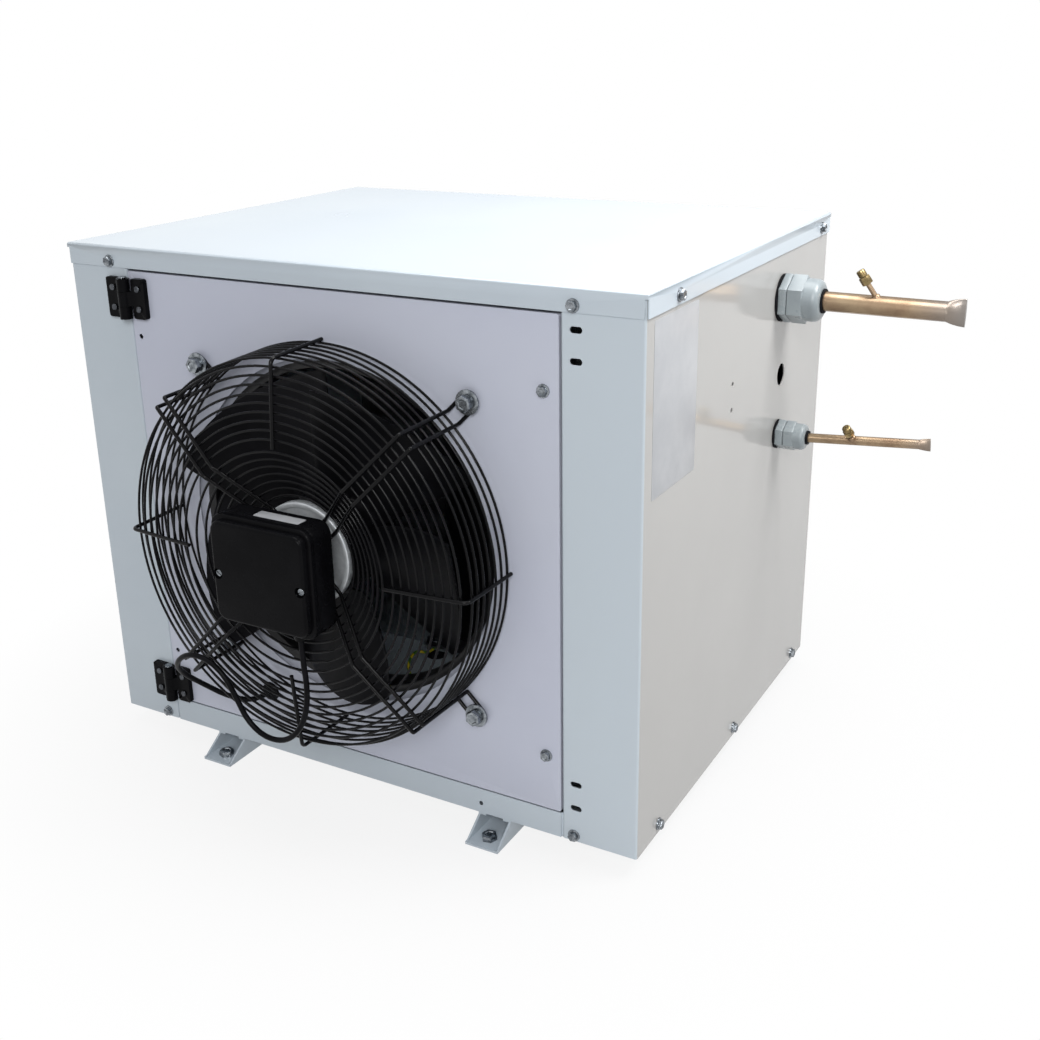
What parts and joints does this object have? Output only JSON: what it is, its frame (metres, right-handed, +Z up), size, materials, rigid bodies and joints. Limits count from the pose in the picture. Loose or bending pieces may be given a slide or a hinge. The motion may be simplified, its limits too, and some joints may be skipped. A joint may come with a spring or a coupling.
{
  "type": "refrigeration condensing unit",
  "caption": "Boxed air-cooled condensing unit with a hinged fan door, wire guard, axial fan, finned coil, compressor, pipe connections and foot rails.",
  "frame": {"origin": "centre of the four anchor holes, on the floor plane under the foot rails", "axes": "+Z up, the fan door faces -Y, the pipe connections leave towards +X"},
  "size_m": [0.7764, 0.603, 0.518],
  "materials": {
    "case_paint": "light grey-blue powder coat, satin",
    "door_paint": "pale lilac-grey powder coat, satin",
    "side_paint": "warm off-white gloss paint",
    "black_wire": "black coated steel wire, gloss",
    "black_enamel": "black enamel, semi-gloss",
    "black_plastic": "black moulded plastic",
    "grey_plastic": "grey moulded nylon",
    "black_rubber": "black rubber",
    "cable_jacket": "black cable jacket",
    "zinc": "zinc-plated steel",
    "motor_silver": "cast aluminium, light silver",
    "rotor_black": "black painted rotor bell",
    "earth_jacket": "yellow-green earth wire jacket",
    "fin_aluminium": "thin aluminium fins",
    "galvanised": "galvanised sheet",
    "copper": "bare copper tube",
    "brass": "bare brass",
    "drier_paint": "green paint"
  },
  "bodies": {
    "case": {"base_pan": "case_paint", "foot_rails": "case_paint", "rail_rivets": "zinc", "left_side_cover": "case_paint", "right_side_cover": "side_paint", "roof_cover": "case_paint", "case_screws": "zinc", "coil_end_plates": "galvanised", "coil_fins": "fin_aluminium", "coil_headers": "copper", "coil_screws": "zinc", "coil_tube_ends": "copper", "compressor_base": "galvanised", "compressor_bolts": "zinc", "compressor_grommets": "black_rubber", "compressor_shell": "black_enamel", "compressor_terminal_cover": "black_plastic", "liquid_receiver": "black_enamel", "filter_drier": "drier_paint", "suction_pipe": "copper", "liquid_pipe": "copper", "receiver_pipe": "copper", "condensate_pipe": "copper", "discharge_pipe": "copper", "suction_gland_body": "grey_plastic", "suction_gland_nut": "grey_plastic", "liquid_gland_body": "grey_plastic", "liquid_gland_nut": "grey_plastic", "gland_seals": "black_rubber", "gland_gaskets": "black_rubber", "gland_locknuts": "grey_plastic", "service_valves": "brass", "valve_caps": "brass", "control_box": "galvanised", "control_box_lid": "galvanised", "earth_stud": "zinc", "earth_wire": "earth_jacket", "air_baffle": "galvanised", "hinge_leaves_post": "black_plastic", "hinge_pins": "zinc", "hinge_screws_post": "zinc"},
    "door": {"fan_door": "door_paint", "door_screws": "zinc", "hinge_leaves_door": "black_plastic", "hinge_screws_door": "zinc", "guard_rings": "black_wire", "guard_ribs": "black_wire", "guard_arms": "black_wire", "guard_bolts": "zinc", "motor_stator": "motor_silver", "motor_bearing": "zinc", "motor_screws": "zinc", "terminal_box_base": "black_plastic", "terminal_box_cover": "black_plastic", "box_screws": "zinc", "box_gland": "black_plastic", "motor_lead": "cable_jacket", "lead_grommet": "black_rubber"},
    "impeller": {"rotor": "rotor_black", "fan_blades": "rotor_black"}
  },
  "joints": [
    {"name": "door_hinge", "type": "hinge", "parent": "case", "child": "door", "pos_m": [-0.22825, -0.2395, 0.27], "axis": [0, 0, -1], "range_deg": [0, 110]},
    {"name": "fan_spin", "type": "hinge", "parent": "door", "child": "impeller", "pos_m": [-0.002, -0.2325, 0.27], "axis": [0, -1, 0], "continuous": true}
  ]
}
